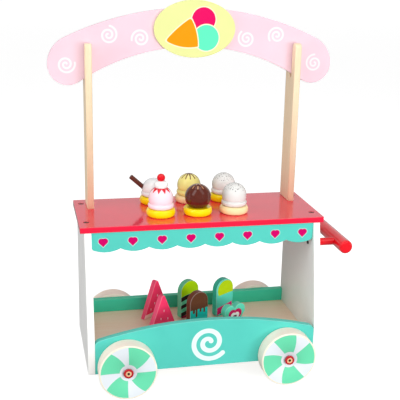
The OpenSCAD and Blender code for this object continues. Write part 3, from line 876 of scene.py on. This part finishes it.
def hub_shapes(place):
    """Cap, wood well and screw head that sit outside one wheel."""
    low, high = span("wheel_" + place)
    out, face = (-Y, low[1]) if place.startswith("front") else (Y, high[1])
    centre = np.array([(low[0] + high[0]) / 2, face + out[1] * 0.5 * MM, AXLE])
    thick, radius, well, bend, lip = 5 * MM, 9.9 * MM, 6.2 * MM, 2.2 * MM, 0.6 * MM
    floor, plug, depth = thick - 2 * MM, well - 0.15 * MM, 0.4 * MM
    cap = path([(0, 0), (radius, 0)], arc((radius - bend, thick - bend), bend, 0, 90, 8),
                          arc((well + lip, thick - lip), lip, 90, 180, 5), [(well, floor), (0, floor)])
    wood = [(0, -depth), (plug, -depth), (plug, 0), (0, 0)]
    head = path([(0, 0), (2.6 * MM, 0)], arc((1.8 * MM, 0.3 * MM), 0.8 * MM, 0, 90, 5),
                           (0, 1.1 * MM))
    seat = centre + out * (floor + depth)
    return turning(cap, centre, out, 64), turning(wood, seat, out, 48), turning(head, seat, out, 32)


def make_hub_caps():
    """Red domed caps with a bare wood well, in which a screw head sits."""
    caps, wells, heads = zip(*[hub_shapes(place) for place in WHEEL_TURNS])
    paint = painted("red_cap_paint", srgb(186, 18, 34), gloss=0.2, coat=0.9)
    finish_piece(join_shapes("hub_cap_rings", caps), "hub_caps", paint)
    wood = bare_wood("hub_well_wood", srgb(250, 214, 170), srgb(225, 170, 120), "y")
    steel = plated_steel("axle_screw_steel", srgb(84, 80, 66))
    for name, shapes, material, slot in (("hub_wells", wells, wood, "cap_paint"),
                                         ("axle_screw_heads", heads, steel, "dark_steel")):
        piece = join_shapes(name, shapes)
        piece.data.materials.append(material)
        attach(piece, "cart_frame")
    shafts = frame["nodes"]["axle_screws"].data.materials
    shafts.clear()
    shafts.append(plated_steel("axle_steel", srgb(120, 116, 112)))


# ---- ice creams

SCOOP_RADIUS, BALL_RADIUS = 25.2, 27.0

def base_profile(radius, height):
    """Turned disc with a full round rim: the rim is half an ellipse, 6 mm deep."""
    deep = 6 * MM
    t = np.radians(np.linspace(-90, 90, 25))
    rim = np.column_stack([radius - deep + deep * np.cos(t) ** 0.8, height / 2 * (1 + np.sin(t))])
    return path((0, 0), rim, (0, height))


def dome_profile(bottom, top, flange, radius):
    """A scoop: a rounded flange, a crease, a nearly upright side and a half ball.

    Below the ball's centre the side draws in by 6 % of the radius, as t ^ 3, with t running
    from 0 at the centre to 1 at the crease."""
    half = 6 * MM
    a = np.radians(np.linspace(-90, 62, 20))
    lip = np.column_stack([flange - half + half * np.cos(a), bottom + half * (1 + np.sin(a))])
    centre = top - radius
    t = np.linspace(1, 0, 10)[:-1]
    side = np.column_stack([radius * (1 - 0.06 * t ** 3), centre + (lip[-1, 1] - centre) * t])
    ball = arc((0, centre), radius, 0, 90, 30)
    ball[-1, 0] = 0
    return path((0, bottom), lip, side, ball)


def star(x, y, radius, points, inner, outer, phase):
    """Distance to a star about the axis: its edge swings between two radii."""
    angle = y.math("ARCTAN2", x)
    swing = abs((angle * (points / (2 * np.pi)) + phase) % 1.0 - 0.5) * 2.0
    swing = swing.math("POWER", 1.2)
    return radius - (inner + swing * (outer - inner))


def strokes(x, y, radius, count, near, far, wide, phase):
    """Distance to short radial strokes, count of them, between two radii."""
    angle = y.math("ARCTAN2", x)
    turn = (angle * (count / (2 * np.pi)) + phase) % 1.0 - 0.5
    across = abs(turn) * radius * (2 * np.pi / count) - wide / 2
    return across & (near - radius) & (radius - far)


def surface_reach(x, y, z, radius=SCOOP_RADIUS):
    """Distance over a dome from its top: radius times the angle from the axis."""
    return (x * x + y * y).math("SQRT").math("ARCTAN2", z) * radius


def lemon_topping(finish, x, y, z, ground):
    """Brown sauce: a small spot with eleven thin runs."""
    reach = surface_reach(x, y, z)
    runs = strokes(x, y, reach, 11, 0.0, 22.0, 2.7, 0.3)
    return finish.stamp(ground, runs | (reach - 5.5), 0.5, srgb(112, 66, 30))


def strawberry_topping(finish, x, y, z, ground):
    """Red sauce: a star of long drips."""
    shape = star(x, y, surface_reach(x, y, z), 10, 15.0, 26.0, 0.15)
    return finish.stamp(ground, shape, 0.5, srgb(222, 24, 44))


def chocolate_topping(finish, x, y, z, ground):
    """Pale short strokes set in two rings round the top."""
    reach = surface_reach(x, y, z, BALL_RADIUS)
    outer = strokes(x, y, reach, 9, 11.0, 19.5, 2.0, 0.1)
    inner = strokes(x, y, reach, 5, 3.0, 8.5, 1.8, 0.4)
    return finish.stamp(ground, outer | inner, 0.6, srgb(206, 150, 108))


def sprinkles(finish, x, y, z, ground, seed):
    """Small dark specks on the top: dots in random cells of the dome laid out flat.

    A point's place on the flat is its direction about the axis times its reach."""
    reach, per_mm = surface_reach(x, y, z), 0.19
    out = reach / ((x * x + y * y).math("SQRT") + 0.01)
    cells = finish.add("TexVoronoi", {"feature": "F1", "voronoi_dimensions": "2D"}, {
        "Vector": finish.vector(x * out + seed, y * out, 0.0), "Scale": per_mm, "Randomness": 0.9})
    near = Value(finish, cells.outputs["Distance"]) / per_mm
    chance = finish.add("SeparateColor", None, {0: cells.outputs["Color"]}).outputs[0]
    dot = near - 0.35 - Value(finish, chance) * 0.9
    spot = finish.inside(dot, 0.4) * finish.inside(reach - BALL_RADIUS, 2.0)
    return finish.mix(spot * 0.85, ground, srgb(62, 48, 44))


def make_scoops():
    """Six treats: a painted base each, and a dome or a ball."""
    yellow = painted("yellow_base_paint", YELLOW, gloss=0.2, coat=0.8)
    peach = painted("peach_base_paint", PEACH, gloss=0.25, coat=0.7)
    colours = {"strawberry": (srgb(252, 226, 236), strawberry_topping, "strawberry_paint"),
               "chocolate": (srgb(88, 34, 22), chocolate_topping, "chocolate_paint"),
               "vanilla": (srgb(226, 226, 223), lambda *v: sprinkles(*v, 40.0), "cream_paint"),
               "lemon": (srgb(238, 226, 138), lemon_topping, "lemon_paint"),
               "coconut": (srgb(238, 239, 240), None, "cream_paint"),
               "stracciatella": (srgb(226, 225, 222), lambda *v: sprinkles(*v, 90.0), "cream_paint")}
    for flavour, (colour, topping, slot) in colours.items():
        base = "base_" + flavour
        low, high = span(base)
        axis_point = middle(base) * (1, 1, 0)
        radius = (high[0] - low[0]) / 2
        pale = flavour in ("vanilla", "lemon")
        foot = turned("turned_" + base, base_profile(radius, high[2] - low[2]), axis_point + Z * low[2])
        finish_piece(foot, base, peach if pale else yellow)
        node = "scoop_" + flavour
        low, high = span(node)
        width = (high[0] - low[0]) / 2
        if flavour == "chocolate":
            profile = arc((0, 0), width, -90, 90, 48)
            profile[[0, -1], 0] = 0
            centre = middle(node)
            piece = turned("chocolate_ball", profile, centre)
        else:
            radius = SCOOP_RADIUS * MM
            profile = dome_profile(low[2], high[2], 26.6 * MM, radius)
            piece = turned(flavour + "_scoop", profile, axis_point)
            centre = axis_point + Z * (high[2] - radius)
        paint = painted(flavour + "_paint", colour, gloss=0.2, coat=0.8, print_on=topping,
                        centre=centre, orange_peel=0.4)
        finish_piece(piece, node, paint)


def make_toppings():
    """Cream dollop with a round side, cherry and chocolate stick."""
    low, high = span("cream_dollop")
    bulge = 8.8 * MM
    flat = (high[0] - low[0]) / 2 - bulge
    side = arc((flat, high[2] - bulge), bulge, -56, 90, 30)
    profile = path((0, side[0, 1]), side, (0, high[2]))
    paint = painted("cream_dollop_paint", srgb(246, 248, 247), gloss=0.15, coat=0.8, orange_peel=0.2)
    axis_point = middle("cream_dollop") * (1, 1, 0)
    finish_piece(turned("cream_bun", profile, axis_point, Z, 72), "cream_dollop", paint)
    low, high = span("cherry")
    radius = (high[0] - low[0]) / 2
    ball = arc((0, high[2] - radius), radius, -44, 90, 36)
    ball[-1, 0] = 0
    profile = path((0, ball[0, 1]), ball)
    paint = painted("cherry_paint", srgb(226, 0, 26), gloss=0.1, coat=1.0, orange_peel=0.2)
    finish_piece(turned("glossy_cherry", profile, axis_point, Z, 64), "cherry", paint)
    make_stick()


def make_stick():
    """A round stick leaning to the left, 42 degrees over the level."""
    low, high = span("chocolate_stick")
    lean = np.radians(42)
    radius, length, soft = 4.9 * MM, 58 * MM, 0.7 * MM
    start = np.array([high[0] - radius * np.sin(lean), (low[1] + high[1]) / 2,
                      low[2] + radius * np.cos(lean)])
    end = arc((radius - soft, length - soft), soft, 0, 90, 5)
    profile = path([(0, 0), (radius, 0)], end, (0, length))
    piece = turned("flake_stick", profile, start, np.array([-np.cos(lean), 0, np.sin(lean)]), 48)
    paint = painted("flake_paint", srgb(96, 52, 42), gloss=0.35, coat=0.3)
    finish_piece(piece, "chocolate_stick", paint)


# ---- shelf goods

LOLLY_TURN, LOLLY_DEPTH = 25.0, 15 * MM
SLICE_TURNS, SLICE_DEPTH = {"melon_back": 38.0, "melon_front": 34.0}, 12 * MM


def good_size(node):
    """A good's turn about the vertical in degrees, and its thickness in metres."""
    return (SLICE_TURNS[node], SLICE_DEPTH) if node in SLICE_TURNS else (LOLLY_TURN, LOLLY_DEPTH)


def good_place(node):
    """A good's place (its front face's directions and origin) and its lowest and highest z.

    The box is centred on the good, so the front face lies half a thickness out from there."""
    low, high = span(node)
    turn, depth = good_size(node)
    turn = np.radians(turn)
    along = np.array([np.cos(turn), np.sin(turn), 0])
    out = np.cross(along, Z)
    origin = (low + high) / 2 * (1, 1, 0) + out * depth / 2
    return (along, Z, out, origin), low[2], high[2]


def good_paint(name, colour, node, face):
    """Paint of a good: one colour on its edge and a print on its front and back faces.

    y runs into the good from its front face, so a face is where y is close to 0 or depth."""
    place, low, high = good_place(node)
    turn, depth = good_size(node)
    half = depth / MM / 2

    def print_on(finish, x, y, z, ground):
        below = half - abs(y - half)
        printed = finish.stamp(ground, below - 0.7, 0.4, face(finish, x, z, ground))
        rim = finish.inside(abs(below - 0.8) - 0.3, 0.5)
        return finish.mix(rim * 0.25, printed, PALE)
    return painted(name, colour, gloss=0.28, coat=0.15, print_on=print_on,
                   centre=(*place[3][:2], low), turn=turn)


def lolly_outline(node):
    """A lolly in (u, z): half round top, straight sides and small rounded feet."""
    low, high = span(node)[0][2], span(node)[1][2]
    half, foot = 23.5 * MM, 5 * MM
    crown = arc((0, high - half), half, 0, 180, 40)
    left = arc((-half + foot, low + foot), foot, 180, 270, 6)
    right = arc((half - foot, low + foot), foot, 270, 360, 6)
    return path(crown, left, right)


def striped_face(finish, x, z, ground):
    """Lime top, black slanted stripes on mint, and magenta at the foot."""
    slant = z - x * 0.10
    bow = x * x * 0.004
    lime = finish.inside(55.0 - slant - bow, 0.5)
    colour = finish.mix(finish.inside(slant - 8.0, 0.5), MINT, srgb(150, 10, 60))
    for middle_z, half in ((49.5, 5.0), (31.5, 4.2), (13.5, 4.6)):
        stripe = finish.inside(abs(slant + bow - middle_z) - half, 0.5)
        colour = finish.mix(stripe, colour, BLACK)
    return finish.mix(lime, colour, LIME)


def lime_face(finish, x, z, ground):
    """Lime cap, teal middle and a magenta swoosh."""
    colour = srgb(84, 206, 184)
    cap = (50.0 + x * 0.1 - z) & (disc(x, z, (2.0, 60.0), 22.0))
    colour = finish.stamp(colour, cap, 0.5, srgb(176, 206, 10))
    low_edge = 9.0 + x * 0.30 - z
    high_edge = z - (24.0 + x * 0.22)
    swoosh = (low_edge & high_edge) & (abs(x) - 20.5)
    return finish.stamp(colour, swoosh, 0.6, srgb(214, 34, 116))


def dipped_face(finish, x, z, ground):
    """Brown coating running down over turquoise in drips of several lengths."""
    edge = 47.0 - z
    for u, tip, wide in ((-14.0, 42.0, 3.2), (-6.8, 32.0, 2.4), (3.6, 42.0, 2.6), (13.5, 39.0, 2.4)):
        across = x - u
        below = (z - tip).math("MINIMUM", 0.0)
        drip = (across * across + below * below).math("SQRT") - wide
        edge = edge | (drip & (z - 50.0))
    return finish.mix(finish.inside(edge, 0.6), srgb(0, 188, 178), srgb(92, 54, 36))


def heart_face(finish, x, z, ground):
    """Nested hearts: magenta, white, and a small dark one."""
    colour = ground
    for size, lift, tone in ((30.0, 11.0, srgb(206, 10, 96)), (19.0, 16.0, WHITE),
                             (8.0, 22.0, srgb(110, 10, 60))):
        colour = finish.stamp(colour, heart(x, z - lift, size), 0.6, tone)
    return colour


def melon_face(finish, x, z, ground):
    """White drop-shaped seeds on hot pink, over a pale band of rind."""
    colour = finish.mix(finish.inside(z - 10.0, 0.8), srgb(255, 60, 110), srgb(255, 222, 212))
    for u, v in ((-7.2, 31.0), (12.8, 26.4), (-19.2, 19.8), (0.7, 14.4), (23.0, 12.4), (1.5, 47.0)):
        a, b = x - u, z - v
        drop = (a * a * 2.6 + b * b * 0.5).math("SQRT") - 1.7 + b * 0.2
        colour = finish.stamp(colour, drop, 0.5, srgb(255, 214, 226))
    return colour


def heart_outline(node):
    """A heart in (u, z): two round lobes over a blunt tip."""
    low, high = span(node)[0][2], span(node)[1][2]
    lobe, lobe_x, tip_radius = 14.5 * MM, 13.0 * MM, 7 * MM
    lobe_z = high - lobe
    dip = 180 - np.degrees(np.arccos(lobe_x / lobe)) - 26
    right = arc((lobe_x, lobe_z), lobe, -20, dip, 26)
    left = right[::-1] * (-1, 1)
    valley = [(0, lobe_z + lobe * 0.42)]
    tip = arc((0, low + tip_radius), tip_radius, 213, 327, 10)
    return path(right, valley, left, tip)


def make_goods():
    faces = {"striped": (MINT, striped_face, "lolly_paint"),
             "dipped": (srgb(112, 62, 44), dipped_face, "dip_paint"),
             "lime": (srgb(66, 206, 178), lime_face, "lime_lolly_paint"),
             "heart": (srgb(96, 218, 186), heart_face, "mint_paint")}
    for kind, (colour, face, slot) in faces.items():
        node = "lolly_" + kind
        outline = heart_outline(node) if kind == "heart" else lolly_outline(node)
        piece = board(kind + "_lolly_wood", outline, LOLLY_DEPTH, good_place(node)[0])
        finish_piece(piece, node, good_paint(kind + "_lolly_print", colour, node, face))
    for node in SLICE_TURNS:
        make_melon(node)


def make_melon(node):
    """A slice of melon standing on its rind: a triangle with a rounded tip."""
    place, low, high = good_place(node)
    half, tip = 40 * MM, 5 * MM
    slope = (half - tip) / (high - low - tip)
    corners = [(-half, low), (half, low), (0, low + half / slope)]
    outline = rounded(corners, [1 * MM, 1 * MM, tip * np.sqrt(1 + slope ** 2)], 8)
    piece = board(node + "_slice", outline, SLICE_DEPTH, place)
    # The edge pink is lighter than the face's hot pink: painted light, as if the sides were lit from
    # the left.
    paint = good_paint(node + "_print", srgb(255, 90, 132), node, melon_face)
    finish_piece(piece, node, paint)


# ---- studio

def stage_sheet(name, corners, glow, lights):
    """A pale matt sheet of the studio that glows a little, so that it stays white."""
    mesh = bpy.data.meshes.new(name)
    mesh.from_pydata(corners, [], [(0, 1, 2, 3)])
    sheet = bpy.data.objects.new(name, mesh)
    bpy.context.scene.collection.objects.link(sheet)
    paper = Finish(name + "_paper", Roughness=0.9, Specular_IOR_Level=0.1,
                   Base_Color=(0.6, 0.6, 0.6, 1), Emission_Color=(1, 1, 1, 1), Emission_Strength=glow)
    mesh.materials.append(paper.material)
    sheet.visible_glossy = sheet.visible_diffuse = lights


def make_studio():
    """Pale floor and backdrop, dim surroundings, and large soft lights above and in front."""
    scene = bpy.context.scene
    stage_sheet("studio_floor", [(-30, -30, 0), (30, -30, 0), (30, 30, 0), (-30, 30, 0)],
                0.75, False)
    stage_sheet("studio_backdrop", [(-20, 18, 0), (28, 18, 0), (28, 18, 16), (-20, 18, 16)],
                0.5, True)
    world = bpy.data.worlds.new("studio_world")
    world.use_nodes = True
    background = world.node_tree.nodes["Background"].inputs
    background["Color"].default_value = (1, 1, 1, 1)
    background["Strength"].default_value = 0.3
    scene.world = world
    for name, place, target, size, power, mirrored in (
            ("left_window", (-1.35, -0.85, 1.9), (0, 0, 0.35), (0.8, 2.0), 10.0, True),
            ("right_window", (1.0, -1.1, 2.0), (0, 0, 0.35), (0.9, 1.8), 5.0, True),
            ("front_light", (0.1, -2.6, 0.6), (0, 0, 0.2), (2.4, 1.0), 25.0, False),
            ("high_light", (0.2, -2.2, 1.5), (0, 0, 0.1), (1.8, 0.8), 14.0, False),
            ("fill_light", (1.4, -1.9, 0.4), (0, 0, 0.15), (0.8, 0.6), 18.0, False),
            ("side_light", (-2.4, -0.5, 0.5), (0, 0, 0.2), (1.2, 1.2), 20.0, False),
            ("top_light", (0.1, 0.3, 2.4), (0, 0, 0.3), (1.6, 1.2), 9.0, True)):
        add_light(name, place, target, size, power, mirrored)
    scene.view_settings.view_transform = "Standard"
    scene.view_settings.look = "None"


def add_light(name, place, target, size, power, mirrored):
    """A rectangular soft light at a place, aimed at a target."""
    data = bpy.data.lights.new(name, "AREA")
    data.shape, data.size, data.size_y, data.energy = "RECTANGLE", size[0], size[1], power
    lamp = bpy.data.objects.new(name, data)
    turn = (Vector(place) - Vector(target)).to_track_quat("Z", "Y")
    lamp.matrix_world = Matrix.Translation(place) @ turn.to_matrix().to_4x4()
    lamp.visible_glossy = mirrored
    bpy.context.scene.collection.objects.link(lamp)


def make_camera():
    """Camera at the front left, a little higher than the cart, looking slightly down."""
    yaw, pitch, roll = np.radians([12.63, 16.284, 1.273])
    data = bpy.data.cameras.new("studio_camera")
    data.sensor_width, data.lens = 36.0, 74.34
    camera = bpy.data.objects.new("studio_camera", data)
    camera.matrix_world = (
        Matrix.Translation((-0.36230, -1.60689, 0.84429)) @ Matrix.Rotation(-yaw, 4, "Z")
        @ Matrix.Rotation(np.pi / 2 - pitch, 4, "X") @ Matrix.Rotation(roll, 4, "Z"))
    bpy.context.scene.collection.objects.link(camera)
    bpy.context.scene.camera = camera


for make in (make_camera, make_studio, make_counter, make_screws, make_side_panels,
             make_front_panel, make_back_rail, make_shelf, make_valance, make_arch, make_sign,
             make_posts, make_handle, make_handle_bolts, make_wheels, make_hub_caps,
             make_scoops, make_toppings, make_goods):
    make()
